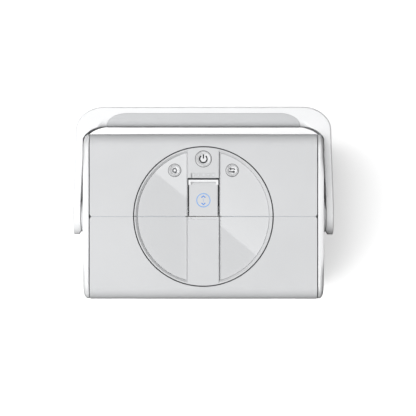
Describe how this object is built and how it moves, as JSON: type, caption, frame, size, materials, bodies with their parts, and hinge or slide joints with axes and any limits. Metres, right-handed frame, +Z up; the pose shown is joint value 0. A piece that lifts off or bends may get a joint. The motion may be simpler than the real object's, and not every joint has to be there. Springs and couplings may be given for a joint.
{
  "type": "sous vide water bath circulator",
  "caption": "Portable box-shaped sous vide water bath with a built-in circulator, a lid of two hinged leaves with a latch and buttons, and a bail handle that folds back.",
  "frame": {"origin": "on the floor under the middle of the whole outline, with the handle folded back", "axes": "+Z up, +X to the user's right across the width, +Y to the rear, where the handle lies"},
  "size_m": [0.2632, 0.194, 0.15],
  "materials": {
    "shell_grey": "fine satin texture",
    "pane_gloss": "polished",
    "plate_white": "satin",
    "grip_soft": "soft touch",
    "button_silver": "pearl",
    "liner_white": "satin",
    "dark_plastic": "fine texture",
    "foot_rubber": "matte",
    "gasket_silicone": "silicone",
    "stainless": "brushed",
    "steel": "turned",
    "magnet_dark": "coated",
    "circuit_green": "solder mask",
    "light_clear": "frosted clear"
  },
  "bodies": {
    "casing": {"tub_shell": "shell_grey", "base_plate": "dark_plastic", "power_inlet": "dark_plastic", "foot_front_left": "foot_rubber", "foot_front_right": "foot_rubber", "foot_rear_left": "foot_rubber", "foot_rear_right": "foot_rubber", "base_screw_front_left": "steel", "base_screw_front_right": "steel", "base_screw_rear_left": "steel", "base_screw_rear_right": "steel", "side_plate_left": "plate_white", "side_plate_right": "plate_white", "pivot_boss_left": "plate_white", "pivot_boss_right": "plate_white", "pivot_shaft_left": "steel", "pivot_shaft_right": "steel", "hinge_pin_front_left": "steel", "hinge_pin_front_right": "steel", "hinge_pin_rear_left": "steel", "hinge_pin_rear_right": "steel", "water_tank": "stainless", "tank_gasket": "gasket_silicone", "heater_plate": "magnet_dark", "power_board": "circuit_green", "temperature_probe": "stainless", "probe_grommet": "gasket_silicone", "motor_housing": "steel", "impeller_spindle": "stainless", "impeller_guard": "stainless"},
    "front_leaf": {"front_leaf_shell": "shell_grey", "front_inlay": "shell_grey", "front_pane_left": "pane_gloss", "front_pane_right": "pane_gloss", "front_liner": "liner_white", "latch_magnet": "magnet_dark"},
    "rear_leaf": {"rear_leaf_shell": "shell_grey", "rear_inlay": "shell_grey", "rear_pane_left": "pane_gloss", "rear_pane_right": "pane_gloss", "rear_liner": "liner_white", "button_board": "circuit_green", "light_bar": "light_clear", "power_bezel": "button_silver", "left_bezel": "button_silver", "right_bezel": "button_silver", "latch_axle": "steel", "latch_spring": "steel"},
    "latch": {"latch_lever": "shell_grey", "latch_armature": "steel"},
    "power_key": {"power_button": "button_silver"},
    "left_key": {"left_button": "button_silver"},
    "right_key": {"right_button": "button_silver"},
    "handle": {"handle_bail": "plate_white", "handle_grip": "grip_soft", "handle_cap_left": "grip_soft", "handle_cap_right": "grip_soft"},
    "rotor": {"motor_shaft": "steel", "drive_magnet": "magnet_dark"},
    "impeller": {"impeller": "liner_white"}
  },
  "joints": [
    {"name": "front_leaf_hinge", "type": "hinge", "parent": "casing", "child": "front_leaf", "pos_m": [0, -0.09395, 0.137], "axis": [1, 0, 0], "range_deg": [0, 95]},
    {"name": "rear_leaf_hinge", "type": "hinge", "parent": "casing", "child": "rear_leaf", "pos_m": [0, 0.06605, 0.137], "axis": [-1, 0, 0], "range_deg": [0, 95]},
    {"name": "latch_lift", "type": "hinge", "parent": "rear_leaf", "child": "latch", "pos_m": [0, -0.00845, 0.1476], "axis": [1, 0, 0], "range_deg": [0, 70], "stiffness_Nm_per_rad": 0.004, "springref_deg": -34.38},
    {"name": "power_press", "type": "slide", "parent": "rear_leaf", "child": "power_key", "axis": [0, 0, -1], "range_m": [0, 0.001], "stiffness_N_per_m": 800},
    {"name": "left_press", "type": "slide", "parent": "rear_leaf", "child": "left_key", "axis": [0, 0, -1], "range_m": [0, 0.001], "stiffness_N_per_m": 800},
    {"name": "right_press", "type": "slide", "parent": "rear_leaf", "child": "right_key", "axis": [0, 0, -1], "range_m": [0, 0.001], "stiffness_N_per_m": 800},
    {"name": "handle_swing", "type": "hinge", "parent": "casing", "child": "handle", "pos_m": [0, -0.01395, 0.12], "axis": [1, 0, 0], "range_deg": [0, 180]},
    {"name": "rotor_spin", "type": "hinge", "parent": "casing", "child": "rotor", "pos_m": [-0.078, -0.01395, 0.036], "axis": [0, 0, 1], "continuous": true},
    {"name": "impeller_spin", "type": "hinge", "parent": "casing", "child": "impeller", "pos_m": [-0.078, -0.01395, 0.052], "axis": [0, 0, 1], "continuous": true}
  ],
  "couplings": [
    {"joint": "impeller_spin", "follows": "rotor_spin", "ratio": 1}
  ]
}
